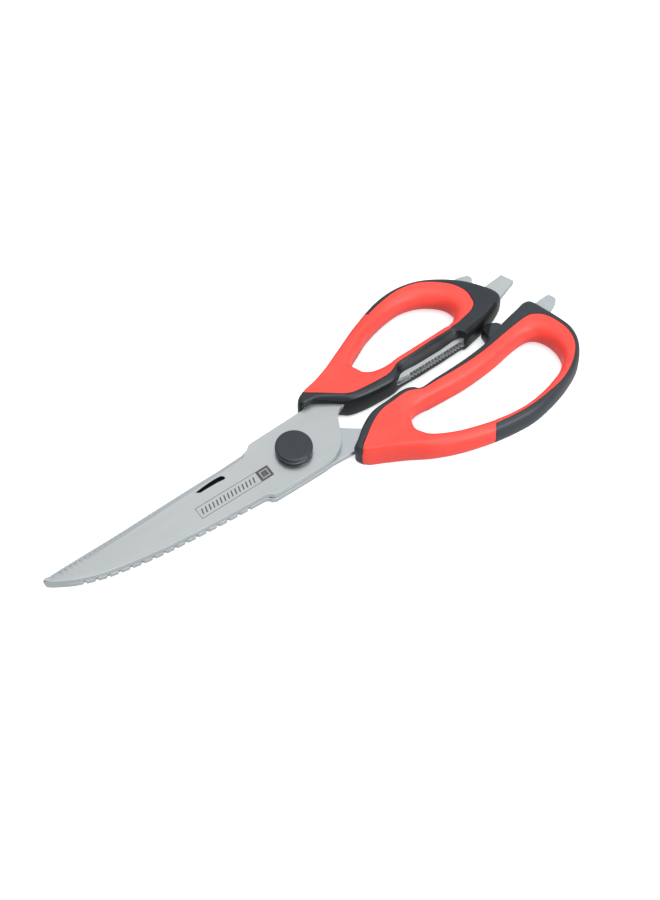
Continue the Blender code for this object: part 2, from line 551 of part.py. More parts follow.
    # pivot
    turned("pivot_bolt", [(0.0, 11.0), (HEAD_R - 0.5, 11.0), (HEAD_R, 10.6), (HEAD_R, 9.4),
                          (BOLT_R, 9.4), (BOLT_R, 3.6), (2.0, 3.6), (2.0, 1.0), (0.0, 1.0)], bolt_steel)
    turned("front_washer", [(5.2, 9.3), (5.2, 8.65), (BOLT_HOLE_R, 8.65), (BOLT_HOLE_R, 9.3)],
           bolt_steel, closed=True)
    turned("rear_washer", [(5.2, 3.4), (5.2, 3.0), (2.2, 3.0), (2.2, 3.4)], bolt_steel, closed=True)
    turned("spring_washer", [(4.4, 2.9), (4.4, 2.5), (2.3, 2.5), (2.3, 2.9)], bolt_steel, closed=True)
    bm = bmesh.new()
    bmesh.ops.create_cone(bm, cap_ends=True, segments=6, radius1=NUT_FLATS / math.sqrt(3) * MM,
                          radius2=NUT_FLATS / math.sqrt(3) * MM, depth=1.4 * MM)
    bmesh.ops.translate(bm, vec=Vector((0, 0, 1.7 * MM)), verts=bm.verts[:])
    nut = add("pivot_nut", bm, bolt_steel)
    boolean(nut, cylinder("nut_bore", 2.1, 0.5, 3.0, cutter=True, seg=24))
    turned("pivot_knob", [(0.0, 12.0), (5.9, 12.0), (6.7, 11.75), (KNOB_R, 11.2), (KNOB_R, 10.2), (6.5, 8.6),
                          (5.6, 8.6), (5.6, 11.1), (0.0, 11.1)], black)
    turned("back_cap", [(0.0, 0.8), (5.4, 0.8), (5.4, 3.4), (CAP_R, 3.4), (CAP_R, 0.6),
                        (6.0, 0.0), (0.0, 0.0)], black)


main()
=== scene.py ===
"""Looks of the poultry shears: satin steel blades, black moulded cores and red
soft-touch over-mould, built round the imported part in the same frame."""

import math

import bmesh
import bpy
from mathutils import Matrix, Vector


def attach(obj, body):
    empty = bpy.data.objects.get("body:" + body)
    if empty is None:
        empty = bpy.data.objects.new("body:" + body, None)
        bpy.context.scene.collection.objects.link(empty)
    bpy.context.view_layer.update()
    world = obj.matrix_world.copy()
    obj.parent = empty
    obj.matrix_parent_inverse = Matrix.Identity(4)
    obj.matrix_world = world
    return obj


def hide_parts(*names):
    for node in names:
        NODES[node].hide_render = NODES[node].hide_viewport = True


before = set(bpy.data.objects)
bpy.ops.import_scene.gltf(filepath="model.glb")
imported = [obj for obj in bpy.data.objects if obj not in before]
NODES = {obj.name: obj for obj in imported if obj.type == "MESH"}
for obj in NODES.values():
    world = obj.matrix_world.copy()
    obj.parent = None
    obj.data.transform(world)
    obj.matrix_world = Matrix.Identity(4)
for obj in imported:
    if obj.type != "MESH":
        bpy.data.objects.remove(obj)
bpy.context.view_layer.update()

MM = 0.001
MID_Z, HALF_T = 6.0, 6.0
REAR_Z, FRONT_Z = (3.5, 5.9), (6.1, 8.5)
SKIN, GROOVE = 1.6, 0.07          # over-mould, and the fine line round it
WRAP = 0.0                        # parting place where red closes round the outer side
FINE = 6                          # sections between two spokes
RED_POINTS, RIM_POINTS = 18, 9
TANG_GAP = 0.06


# ------------------------------------------------------------------- shapes
def catmull(points, steps, closed=False):
    """Centripetal Catmull-Rom through rows of equal length; the first two
    numbers of a row are its place in plan, the rest ride along."""
    n = len(points)
    rows = []
    last = n if closed else n - 1
    for i in range(last):
        if closed:
            p0, p1, p2, p3 = (points[(i + k - 1) % n] for k in range(4))
        else:
            p1, p2 = points[i], points[i + 1]
            p0 = points[i - 1] if i else [2 * a - b for a, b in zip(p1, p2)]
            p3 = points[i + 2] if i + 2 < n else [2 * b - a for a, b in zip(p1, p2)]
        t = [0.0]
        for a, b in ((p0, p1), (p1, p2), (p2, p3)):
            t.append(t[-1] + max(math.dist(a[:2], b[:2]), 1e-6) ** 0.5)
        for k in range(steps):
            x = t[1] + (t[2] - t[1]) * k / steps
            row = []
            for a0, a1, a2, a3 in zip(p0, p1, p2, p3):
                b1 = a0 + (a1 - a0) * (x - t[0]) / (t[1] - t[0])
                b2 = a1 + (a2 - a1) * (x - t[1]) / (t[2] - t[1])
                b3 = a2 + (a3 - a2) * (x - t[2]) / (t[3] - t[2])
                c1 = b1 + (b2 - b1) * (x - t[0]) / (t[2] - t[0])
                c2 = b2 + (b3 - b2) * (x - t[1]) / (t[3] - t[1])
                row.append(c1 + (c2 - c1) * (x - t[1]) / (t[2] - t[1]))
            rows.append(row)
    if not closed:
        rows.append(list(points[-1]))
    return rows


def left_normal(a, b):
    d = (Vector(b[:2]) - Vector(a[:2])).normalized()
    return Vector((-d.y, d.x))


def ground_edge(points, steps, grind, teeth=None):
    """One stretch of a blank's edge, drawn anticlockwise, so the steel lies on
    its left.  grind is (width, depth) at its start and at its end: how far the
    ground side is set in, and how much of the plate's height it takes.
    teeth is (x0, x1, pitch, depth, land)."""
    (w0, d0), (w1, d1) = grind
    curve = catmull([list(p) for p in points], steps)
    lengths = [0.0]
    for a, b in zip(curve, curve[1:]):
        lengths.append(lengths[-1] + math.dist(a, b))
    total = lengths[-1]

    def at(s):
        s = min(max(s, 0.0), total)
        i = max(j for j in range(len(lengths) - 1) if lengths[j] <= s + 1e-9)
        f = (s - lengths[i]) / (lengths[i + 1] - lengths[i])
        a, b = Vector(curve[i]), Vector(curve[i + 1])
        lo, hi = max(i - 1, 0), min(i + 2, len(curve) - 1)
        return a.lerp(b, f), left_normal(curve[lo], curve[hi])

    stations = [(s, 0.0) for s in lengths]
    if teeth:
        s0, s1, pitch, depth, land = teeth
        stations = [(s, 0.0) for s in lengths if s < s0 - 0.6 or s > s1 + 0.6]
        s = s0
        while s + pitch <= s1 + 1e-6:
            stations += [(s, 0.0), (s + pitch * land, 0.0),
                         (s + pitch * (land + 0.12), depth), (s + pitch * 0.88, depth)]
            s += pitch
        stations.append((s, 0.0))
        stations.sort(key=lambda e: e[0])
    out = []
    for s, cut in stations:
        p, n = at(s)
        f = s / total
        width, drop = w0 + (w1 - w0) * f, d0 + (d1 - d0) * f
        out.append((p + n * cut, p + n * max(width, cut + 0.05), drop))
    return out


def offset_outline(outline, distance):
    """Grow a plan outline (anticlockwise) by a distance, corner by corner."""
    n = len(outline)
    out = []
    for i in range(n):
        p0, p1, p2 = outline[i - 1], outline[i], outline[(i + 1) % n]
        n1, n2 = -left_normal(p0, p1), -left_normal(p1, p2)
        m = (n1 + n2)
        m = m / max(m.length_squared / 2, 0.6)
        out.append((p1[0] + m.x * distance, p1[1] + m.y * distance))
    return out


FINGER_SPOKES = [
    (-18.9, 12.3, -43.8, 15.6, 0.12, 3.4, 2.6, 5.8, 1.0),
    (-20.3, 15.2, -43.9, 17.0, 0.00, 3.0, 2.6, 5.8, 0.5),
    (-26.3, 17.8, -44.9, 18.8, 0.00, 4.0, 2.6, 6.0, 0.0),
    (-34.0, 21.6, -46.4, 20.6, 0.00, 3.4, 2.6, 6.0, 0.0),
    (-43.2, 26.9, -50.2, 22.9, 0.00, 3.0, 2.6, 5.9, 0.0),
    (-53.3, 30.8, -56.6, 25.3, 0.00, 2.6, 2.4, 5.7, 0.0),
    (-63.2, 33.1, -63.9, 27.1, 0.00, 2.4, 2.4, 5.6, 0.0),
    (-66.2, 33.6, -66.4, 27.6, 0.00, 2.4, 2.4, 5.5, 0.0),
    (-68.4, 33.9, -68.8, 28.0, 0.50, 2.4, 2.4, 5.5, 0.0),
    (-76.0, 34.4, -75.5, 28.8, 0.55, 2.4, 2.4, 5.5, 0.0),
    (-84.8, 34.2, -83.0, 28.8, 0.57, 2.4, 2.4, 5.5, 0.0),
    (-93.9, 32.0, -90.2, 27.6, 0.49, 2.4, 2.4, 5.5, 0.0),
    (-103.3, 28.3, -96.4, 25.8, 0.33, 2.6, 2.4, 5.7, 0.0),
    (-111.4, 23.2, -102.8, 22.9, 0.33, 3.0, 2.4, 5.9, 0.0),
    (-116.6, 16.3, -107.4, 18.2, 0.29, 3.4, 2.4, 6.0, 0.0),
    (-118.2, 9.5, -108.6, 13.0, 0.30, 3.4, 2.4, 6.0, 0.0),
    (-116.5, 2.3, -108.1, 8.6, 0.31, 3.4, 2.4, 6.0, 0.0),
    (-114.2, -3.3, -106.5, 5.2, 0.36, 3.6, 2.4, 6.0, 0.0),
    (-111.4, -9.2, -104.6, 3.4, 0.52, 4.0, 2.4, 6.0, 0.0),
    (-109.0, -9.9, -102.9, 2.7, 0.55, 4.0, 2.4, 6.0, 0.0),
    (-105.0, -8.8, -100.6, 2.4, 0.55, 4.0, 2.6, 6.0, 0.0),
    (-96.0, -6.1, -95.0, 3.3, 0.52, 4.5, 2.6, 6.0, 0.0),
    (-85.0, -1.7, -86.0, 5.5, 0.39, 4.5, 2.6, 6.0, 0.0),
    (-78.7, -0.4, -79.0, 6.8, 0.37, 4.5, 2.6, 6.0, 0.0),
    (-70.7, 0.7, -71.0, 7.8, 0.34, 4.5, 2.6, 6.0, 0.0),
    (-60.6, 1.6, -62.0, 8.1, 0.30, 4.5, 2.6, 6.0, 0.0),
    (-53.4, 2.3, -54.5, 8.1, 0.26, 4.5, 2.6, 6.0, 0.0),
    (-51.0, 0.2, -52.0, 8.1, 0.34, 4.5, 2.6, 6.0, 0.0),
    (-47.9, -0.5, -49.5, 8.3, 0.28, 4.5, 2.6, 6.0, 0.0),
    (-40.2, 0.5, -46.5, 9.1, 0.26, 4.5, 2.6, 6.0, 0.0),
    (-33.2, 1.8, -44.7, 10.7, 0.23, 4.5, 2.6, 6.0, 0.3),
    (-27.0, 5.3, -44.2, 12.6, 0.18, 4.5, 2.6, 6.0, 0.6),
    (-22.0, 9.9, -44.0, 14.2, 0.15, 5.0, 2.6, 6.0, 1.0),
]
THUMB_SPOKES = [
    (-11.6, -14.4, -38.8, -18.6, 0.28, 4.5, 2.6, 6.0, 0.0),
    (-11.9, -16.9, -38.3, -19.8, 0.22, 4.0, 2.6, 6.0, 0.0),
    (-14.4, -18.6, -38.0, -20.7, 0.05, 4.0, 2.6, 6.0, 0.0),
    (-20.4, -20.3, -39.2, -22.5, 0.00, 4.0, 2.6, 6.0, 0.0),
    (-27.6, -23.4, -42.2, -24.9, 0.00, 3.6, 2.6, 6.0, 0.0),
    (-36.2, -28.3, -46.2, -27.1, 0.00, 3.2, 2.6, 6.0, 0.0),
    (-44.8, -33.3, -50.7, -29.7, 0.00, 3.0, 2.4, 6.0, 0.0),
    (-50.4, -36.1, -54.2, -31.1, 0.00, 2.8, 2.4, 5.9, 0.0),
    (-54.5, -37.8, -56.8, -32.0, 0.30, 2.8, 2.4, 5.9, 0.0),
    (-62.0, -40.3, -62.0, -33.3, 0.32, 2.8, 2.3, 5.8, 0.0),
    (-71.0, -41.5, -69.0, -34.2, 0.26, 2.8, 2.3, 5.8, 0.0),
    (-79.8, -40.3, -75.5, -32.8, 0.21, 2.8, 2.3, 5.8, 0.0),
    (-87.7, -36.6, -80.0, -30.2, 0.25, 3.0, 2.3, 5.9, 0.0),
    (-94.3, -31.6, -83.2, -27.4, 0.37, 3.4, 2.3, 6.0, 0.0),
    (-99.5, -25.7, -84.6, -24.5, 0.47, 3.6, 2.3, 6.0, 0.0),
    (-102.9, -20.3, -84.8, -21.8, 0.58, 3.6, 2.3, 6.0, 0.0),
    (-103.3, -17.0, -83.8, -20.0, 0.59, 3.4, 2.3, 6.0, 0.0),
    (-99.7, -14.2, -82.3, -18.4, 0.60, 3.2, 2.3, 6.0, 0.0),
    (-93.6, -11.3, -80.8, -17.4, 0.66, 3.2, 2.3, 6.0, 0.0),
    (-86.7, -9.2, -79.3, -16.9, 0.68, 3.6, 2.3, 6.0, 0.0),
    (-82.2, -8.2, -78.0, -16.4, 0.72, 4.5, 2.3, 6.0, 0.0),
    (-80.6, -9.2, -77.0, -16.2, 0.68, 4.5, 2.3, 6.0, -2.6),
    (-70.0, -7.6, -69.0, -15.4, 0.69, 4.5, 2.3, 6.0, -3.4),
    (-60.0, -6.8, -60.0, -14.7, 0.64, 4.5, 2.3, 6.0, -3.6),
    (-51.8, -6.4, -52.0, -13.8, 0.62, 4.5, 2.3, 6.0, -3.4),
    (-50.2, -6.0, -50.2, -13.9, 0.60, 4.5, 2.3, 6.0, -1.2),
    (-47.6, -5.3, -47.6, -13.8, 0.50, 4.5, 2.4, 6.0, 0.0),
    (-42.0, -4.9, -44.0, -14.1, 0.45, 4.5, 2.6, 6.0, 0.0),
    (-34.0, -5.0, -41.6, -15.0, 0.39, 4.5, 2.6, 6.0, -0.3),
    (-27.9, -6.0, -40.0, -16.2, 0.32, 4.5, 2.6, 6.0, -0.8),
    (-25.4, -7.6, -39.5, -17.3, 0.26, 4.5, 2.6, 6.0, -1.2),
    (-20.6, -11.0, -39.2, -17.9, 0.20, 4.5, 2.6, 6.0, -1.0),
    (-15.6, -13.9, -39.1, -18.3, 0.22, 4.5, 2.6, 6.0, -0.6),
]


CORNER_OUT, CORNER_IN = 4.0, 5.0      # longest reach of a section's rounding, in plan
Q_OUT, Q_IN = 0.42, 0.58              # q: 0 on the outer side, 1 at the hole; flat top between


def corner(share, power):
    """A superellipse's corner: how far out and how high at a share of 90 degrees."""
    share = min(max(share, 0.0), 1.0)
    c, h = max(math.cos(share * math.pi / 2), 0.0), math.sin(share * math.pi / 2)
    size = (c ** power + h ** power) ** (-1 / power)
    return c * size, h * size


def section_point(row, q, inset, under=False):
    """A point of a handle's section; inset shrinks the section evenly."""
    sx, sy, hx, hy, _, n_out, n_in, b, lean, a_in = row[:10]
    width = math.dist((sx, sy), (hx, hy))
    a_out = min(width / 2, CORNER_OUT)
    rise = 1.0
    if q < Q_OUT:
        reach, rise = corner(q / Q_OUT, n_out)
        t = inset + max(a_out - inset, 0.2) * (1 - reach)
    elif q > Q_IN:
        reach, rise = corner((1 - q) / (1 - Q_IN), n_in)
        t = width - inset - max(a_in - inset, 0.2) * (1 - reach)
    else:
        t = a_out + (width - a_in - a_out) * (q - Q_OUT) / (Q_IN - Q_OUT)
    z = (b - inset) * rise
    if not under:
        t -= lean * z / HALF_T * (1 - t / width)
    return sx + (hx - sx) * t / width, sy + (hy - sy) * t / width, MID_Z + (-z if under else z)


def inner_reach(row):
    """How far the rounding of the hole side reaches: not past the red."""
    width = math.dist(row[0:2], row[2:4])
    return min(width / 2, CORNER_IN, max(2.0, 1.15 * (1 - row[4]) * width))


def parting_q(row):
    """Where on the section black gives way to red: the spoke's share of the
    width, or WRAP where red closes round the outer side too."""
    share = row[4]
    if share <= 0:
        return WRAP
    lo, hi = 0.0, 1.0
    for _ in range(30):
        mid = (lo + hi) / 2
        x, y, _ = section_point(row, mid, 0.0)
        if math.dist((x, y), row[0:2]) < share * math.dist(row[0:2], row[2:4]):
            lo = mid
        else:
            hi = mid
    return lo


FRONT_TANG_LOWER = [(-11.0, -13.3), (-14.5, -14.6), (-20.0, -13.8), (-28.0, -12.2), (-40.0, -11.4),
                    (-50.0, -11.5), (-60.0, -11.9), (-70.0, -12.5), (-80.0, -13.3), (-86.0, -16.4),
                    (-92.0, -20.2), (-97.0, -23.6), (-101.0, -25.0), (-110.0, -26.5)]
FRONT_TANG_END = [(-110.0, -26.5), (-112.5, -21.6), (-103.5, -17.7), (-98.0, -16.6), (-92.0, -14.0),
                  (-86.0, -11.4), (-82.5, -10.2), (-80.9, -8.8)]
FRONT_JAW = [(-80.2, -7.4), (-66.0, -6.2), (-55.0, -5.4), (-49.3, -5.3)]
FRONT_TANG_UPPER = [(-47.6, -6.6), (-45.0, -6.9), (-38.0, -6.9), (-31.0, -7.3), (-25.6, -7.4), (-23.4, -6.2),
                    (-22.2, -5.0), (-21.2, -3.3), (-20.0, -0.2)]
REAR_TANG_LOWER = [(-120.9, -10.9), (-114.5, -9.8), (-108.0, -7.9), (-96.0, -4.4), (-85.0, -0.7),
                   (-78.0, 1.3), (-70.0, 2.7), (-60.0, 3.5), (-53.5, 3.5), (-48.0, 1.8), (-40.0, 2.0),
                   (-34.0, 3.7), (-30.3, 5.6), (-26.8, 3.5), (-22.5, 0.5), (-20.4, -0.9), (-19.4, -1.6)]
REAR_TANG_UPPER = [(-17.6, 10.8), (-21.5, 10.7), (-27.0, 9.9), (-34.0, 8.0), (-41.0, 6.3),
                   (-49.0, 5.2), (-60.0, 5.3), (-70.0, 4.9), (-78.0, 3.8), (-86.0, 2.3),
                   (-96.0, -0.4), (-106.0, -1.6), (-112.0, -2.4), (-117.2, -3.4)]
REAR_TIP = [(-117.2, -3.4), (-122.2, -6.7), (-123.0, -8.2), (-121.9, -10.4), (-120.9, -10.9)]
LIFTER = [(-97.2, -28.4), (-99.3, -30.7), (-99.4, -32.1), (-98.5, -33.1), (-93.0, -34.1),
          (-90.6, -32.4), (-94.2, -27.6)]
LINE = (0.25, 0.12), (0.25, 0.12)      # a plain broken edge


def new_object(name, bm, mats=(), smooth=None, hidden=False):
    bmesh.ops.recalc_face_normals(bm, faces=bm.faces[:])
    me = bpy.data.meshes.new(name)
    bm.to_mesh(me)
    bm.free()
    for mat in mats:
        me.materials.append(mat)
    ob = bpy.data.objects.new(name, me)
    bpy.context.scene.collection.objects.link(ob)
    if smooth is not None:
        me.shade_smooth()
        me.set_sharp_from_angle(angle=math.radians(smooth))
    if hidden:
        ob.hide_render = True
    return ob


def prism(name, outline, z0, z1, mats=(), hidden=False, bevel=0.0, segments=2):
    bm = bmesh.new()
    ring = [bm.verts.new((x * MM, y * MM, z0 * MM)) for x, y in outline]
    face = bm.faces.new(ring)
    up = bmesh.ops.extrude_face_region(bm, geom=[face])
    bmesh.ops.translate(bm, vec=Vector((0, 0, (z1 - z0) * MM)),
                        verts=[g for g in up["geom"] if isinstance(g, bmesh.types.BMVert)])
    if bevel:
        edges = [e for e in bm.edges]
        bmesh.ops.bevel(bm, geom=edges, offset=bevel * MM, segments=segments, profile=0.5,
                        affect="EDGES", clamp_overlap=True)
    return new_object(name, bm, mats, smooth=35 if bevel else None, hidden=hidden)


def turned(name, profile, mats, seg=96):
    """A profile (radius, height) turned about Z, built ring by ring."""
    bm = bmesh.new()
    rings = []
    for r, z in profile:
        if r < 1e-6:
            rings.append([bm.verts.new((0, 0, z * MM))])
        else:
            rings.append([bm.verts.new((r * MM * math.cos(math.tau * k / seg),
                                        r * MM * math.sin(math.tau * k / seg), z * MM))
                          for k in range(seg)])
    for a, b in zip(rings, rings[1:]):
        for k in range(seg):
            j = (k + 1) % seg
            if len(a) == 1:
                bm.faces.new((a[0], b[j], b[k]))
            elif len(b) == 1:
                bm.faces.new((a[k], a[j], b[0]))
            else:
                bm.faces.new((a[k], a[j], b[j], b[k]))
    return new_object(name, bm, mats, smooth=30)


def rounded(profile, radius, steps=5):
    """A profile with its inner corners rounded by up to a radius."""
    out = [profile[0]]
    for a, p, b in zip(profile, profile[1:], profile[2:]):
        a, p, b = Vector(a), Vector(p), Vector(b)
        cut = min(radius, (a - p).length * 0.45, (b - p).length * 0.45)
        s, e = p + (a - p).normalized() * cut, p + (b - p).normalized() * cut
        for k in range(steps + 1):
            t = k / steps
            q = s * (1 - t) ** 2 + p * 2 * t * (1 - t) + e * t * t
            out.append((q.x, q.y))
    out.append(profile[-1])
    return out


def apply_modifiers(ob):
    """Modifiers turned into plain mesh."""
    dg = bpy.context.evaluated_depsgraph_get()
    me = bpy.data.meshes.new_from_object(ob.evaluated_get(dg), preserve_all_data_layers=True,
                                         depsgraph=dg)
    old = ob.data
    ob.modifiers.clear()
    ob.data = me
    if old.users == 0:
        bpy.data.meshes.remove(old)


def cut(ob, *others, operation="DIFFERENCE"):
    for other in others:
        mod = ob.modifiers.new("cut", "BOOLEAN")
        mod.object = other
        mod.operation = operation
        mod.solver = "EXACT"
        mod.material_mode = "TRANSFER"
    apply_modifiers(ob)
    for other in others:
        bpy.data.objects.remove(other, do_unlink=True)


# ---------------------------------------------------------------- materials
class Nodes:
    """A material's node tree, with short helpers."""

    def __init__(self, name, colour, rough, metallic=0.0, **sockets):
        self.mat = bpy.data.materials.new(name)
        self.mat.use_nodes = True
        self.tree = self.mat.node_tree
        self.bsdf = self.tree.nodes["Principled BSDF"]
        self.bsdf.inputs["Base Color"].default_value = (*colour, 1.0)
        self.bsdf.inputs["Roughness"].default_value = rough
        self.bsdf.inputs["Metallic"].default_value = metallic
        for key, value in sockets.items():
            self.bsdf.inputs[key.replace("_", " ")].default_value = value
        self.coords = self.tree.nodes.new("ShaderNodeTexCoord")

    def node(self, kind, **values):
        n = self.tree.nodes.new("ShaderNode" + kind)
        for key, value in values.items():
            if key in n.inputs:
                n.inputs[key].default_value = value
            else:
                setattr(n, key, value)
        return n

    def link(self, a, b):
        self.tree.links.new(a, b)

    def mapped(self, scale, turn=(0, 0, 0)):
        m = self.node("Mapping")
        m.inputs["Scale"].default_value = scale
        m.inputs["Rotation"].default_value = turn
        self.link(self.coords.outputs["Object"], m.inputs["Vector"])
        return m.outputs["Vector"]

    def noise(self, vector, scale, detail=3.0, rough=0.5):
        n = self.node("TexNoise", Scale=scale, Detail=detail, Roughness=rough)
        self.link(vector, n.inputs["Vector"])
        return n.outputs["Fac"]

    def ramp(self, fac, stops):
        r = self.node("ValToRGB")
        el = r.color_ramp.elements
        while len(el) < len(stops):
            el.new(0.5)
        for e, (at, colour) in zip(el, stops):
            e.position = at
            e.color = (*colour, 1.0) if len(colour) == 3 else colour
        self.link(fac, r.inputs["Fac"])
        return r.outputs["Color"]

    def grey(self, fac, lo, hi, a=0.3, b=0.7):
        m = self.node("MapRange")
        m.inputs["From Min"].default_value = a
        m.inputs["From Max"].default_value = b
        m.inputs["To Min"].default_value = lo
        m.inputs["To Max"].default_value = hi
        self.link(fac, m.inputs["Value"])
        return m.outputs["Result"]

    def bump(self, height, strength, distance, after=None):
        b = self.node("Bump", Strength=strength, Distance=distance)
        self.link(height, b.inputs["Height"])
        if after is not None:
            self.link(after, b.inputs["Normal"])
        return b.outputs["Normal"]

    def done(self, colour=None, rough=None, normal=None):
        if colour is not None:
            self.link(colour, self.bsdf.inputs["Base Color"])
        if rough is not None:
            self.link(rough, self.bsdf.inputs["Roughness"])
        if normal is not None:
            self.link(normal, self.bsdf.inputs["Normal"])
        return self.mat


def steel(name, light, dark, rough, stretch, scale=260.0, turn=0.0, depth=0.00001, strength=0.25):
    """Brushed steel: fine scratches drawn out along one direction, and slow changes of tone."""
    m = Nodes(name, light, rough, 1.0)
    lines = m.noise(m.mapped(stretch, (0, 0, turn)), scale, 4.0, 0.6)
    slow = m.noise(m.mapped((1, 1, 1)), 38.0, 2.0, 0.5)
    mix = m.node("Mix", data_type="RGBA")
    mix.inputs["Factor"].default_value = 0.35
    m.link(m.ramp(slow, [(0.35, dark), (0.65, light)]), mix.inputs["A"])
    m.link(m.ramp(lines, [(0.30, dark), (0.70, light)]), mix.inputs["B"])
    return m.done(mix.outputs["Result"], m.grey(lines, rough - 0.05, rough + 0.07),
                  m.bump(lines, strength, depth))


def plastic(name, base, worn, rough, grain=2600.0, strength=0.22, **sockets):
    """Moulded plastic: a fine spark-eroded grain, slow unevenness in gloss and tone."""
    m = Nodes(name, base, rough, 0.0, **sockets)
    slow = m.noise(m.mapped((1, 1, 1)), 55.0, 3.0, 0.55)
    fine = m.noise(m.mapped((1, 1, 1)), grain, 2.0, 0.5)
    tone = m.node("Mix", data_type="RGBA")
    tone.inputs["Factor"].default_value = 0.3
    m.link(m.ramp(slow, [(0.30, base), (0.72, worn)]), tone.inputs["A"])
    m.link(m.ramp(fine, [(0.30, base), (0.70, worn)]), tone.inputs["B"])
    wave = m.bump(slow, 0.06, 0.00025)
    return m.done(tone.outputs["Result"], m.grey(slow, rough - 0.04, rough + 0.06),
                  m.bump(fine, strength, 0.00003, wave))


FACE = steel("satin_face", (0.560, 0.590, 0.594), (0.525, 0.553, 0.558), 0.30, (0.12, 1.0, 1.0))
FACE_REAR = steel("satin_face_rear", (0.540, 0.572, 0.598), (0.510, 0.540, 0.566), 0.30, (0.12, 1.0, 1.0))
WALL = steel("sheared_wall", (0.575, 0.615, 0.63), (0.50, 0.535, 0.55), 0.42, (1.0, 1.0, 0.10), 420.0)
GROUND = steel("ground_edge", (0.585, 0.625, 0.655), (0.535, 0.572, 0.603), 0.28, (1.0, 0.08, 1.0), 420.0,
               strength=0.35)
TOOTH = steel("toothed_strip", (0.72, 0.75, 0.76), (0.60, 0.63, 0.64), 0.32, (1.0, 0.1, 1.0), 500.0)
BOLT = steel("turned_steel", (0.45, 0.46, 0.48), (0.38, 0.39, 0.41), 0.28, (1.0, 1.0, 0.1), 700.0)
# darker steel for the floors of the tooth gullets: painted shade in the notches
GULLET_SHADE = steel("tooth_gullet_painted_shade", (0.30, 0.325, 0.34), (0.22, 0.24, 0.25), 0.45, (1.0, 0.1, 1.0), 500.0)
# near-black steel for the slot's cut walls and the sheet inside the slot: painted shade
SLOT_SHADE = steel("slot_painted_shade", (0.075, 0.083, 0.09), (0.05, 0.056, 0.062), 0.5, (1.0, 1.0, 0.1), 500.0)
ETCH = Nodes("etched_mark", (0.085, 0.085, 0.085), 0.6, 0.35)
ETCH = ETCH.done(ETCH.ramp(ETCH.noise(ETCH.mapped((1, 1, 1)), 2400.0, 2.0),
                           [(0.35, (0.055, 0.055, 0.057)), (0.65, (0.13, 0.13, 0.13))]))
BLACK = plastic("black_moulding", (0.021, 0.027, 0.034), (0.031, 0.039, 0.048), 0.42,
                Specular_IOR_Level=0.35)
# a darker copy of the black moulding for the thumb handle's core: painted shade, the same plastic as the finger
# core
BLACK_THUMB_SHADED = plastic("black_moulding_thumb_shaded", (0.014, 0.018, 0.023), (0.021, 0.027, 0.033), 0.38,
                      Specular_IOR_Level=0.38)
# a near-black copy of the black moulding for the thumb core's wall between the handles and for the stop block:
# painted shade
BLACK_PAINTED_SHADE = plastic("black_moulding_painted_shade", (0.0060, 0.0075, 0.0090), (0.0090, 0.011, 0.013), 0.45,
                     Specular_IOR_Level=0.25)
KNOB = plastic("knob_moulding", (0.019, 0.025, 0.031), (0.026, 0.033, 0.040), 0.36, grain=3200.0,
               strength=0.12, Specular_IOR_Level=0.45)
RED = plastic("red_soft_touch", (0.872, 0.056, 0.041), (0.912, 0.080, 0.060), 0.46, grain=3400.0,
              strength=0.14, Specular_IOR_Level=0.40, Sheen_Weight=0.06, Sheen_Roughness=0.4)


# ------------------------------------------------------------------- blades
def blank(name, stretches, flat_z, ground_z, face_mat, jaw=None):
    """A plate, flat on one side and ground along its edges on the other.  Its faces, sheared walls and ground
    strips each have their own finish; the tooth gullets take a darker steel, which is painted shade."""
    rows = []
    for n, stretch in enumerate(stretches):
        for row in stretch:
            if rows and (row[0] - rows[-1][0]).length < 0.02:
                continue
            rows.append((*row, n))
    if (rows[0][0] - rows[-1][0]).length < 0.02:
        rows.pop()
    side = 1 if ground_z > flat_z else -1
    bm = bmesh.new()
    lip = 0.06
    flat_in, flat, edge, bite, top = [], [], [], [], []
    for e, t, d, part in rows:
        inward = (t - e).normalized() * 0.10
        width = GRIND[part] if part < len(GRIND) else 0.0
        share = 0.45
        if width:
            share = min(0.75 / width, 0.8)         # the bite reaches 0.75 mm in
        place = t + (e - t).normalized() * max((t - e).length, width) * (1 - share) \
            if (t - e).length > 1e-6 else t
        if (place - t).length > (e - t).length - 0.04:
            place = e + (t - e).normalized() * 0.04
        fall = d * (place - t).length / max((t - e).length, width, 1e-6)
        bite.append(bm.verts.new((place.x * MM, place.y * MM, (ground_z - side * fall) * MM)))
        flat_in.append(bm.verts.new(((e.x + inward.x) * MM, (e.y + inward.y) * MM, flat_z * MM)))
        flat.append(bm.verts.new((e.x * MM, e.y * MM, (flat_z + side * lip) * MM)))
        edge.append(bm.verts.new((e.x * MM, e.y * MM, (ground_z - side * d) * MM)))
        top.append(bm.verts.new((t.x * MM, t.y * MM, ground_z * MM)))
    n = len(rows)
    span = [(t - e).length for e, t, _, _ in rows]
    deep = [span[i] < max(span[(i + k) % n] for k in range(-3, 4) if rows[(i + k) % n][3] == rows[i][3]) - 0.2
            for i in range(n)]
    for lower, upper, kind in ((flat_in, flat, 1), (flat, edge, 1), (edge, bite, 2), (bite, top, 2)):
        for i in range(n):
            j = (i + 1) % n
            f = bm.faces.new((lower[i], lower[j], upper[j], upper[i]))
            f.material_index = kind
            if kind == 2 and jaw is not None and rows[i][3] == jaw:
                f.material_index = 3
            elif kind == 2 and span[i] < 0.6 and not deep[i]:
                f.material_index = 0               # a broken edge, not a ground one
            # faces in the deep notches take the darker gullet steel: painted shade
            if deep[i] and deep[j] and rows[i][3] != jaw and upper is not top and lower is not flat_in:
                f.material_index = 4
    bm.faces.new(flat_in).material_index = 0
    bm.faces.new(top).material_index = 0
    return new_object(name, bm, (face_mat, WALL, GROUND, TOOTH, GULLET_SHADE), smooth=28)


LINE = (0.05, 0.03), (0.05, 0.03)      # a broken edge
GRIND = (0.0, 0.0, 2.4)                # width of the front blade's toothed strip


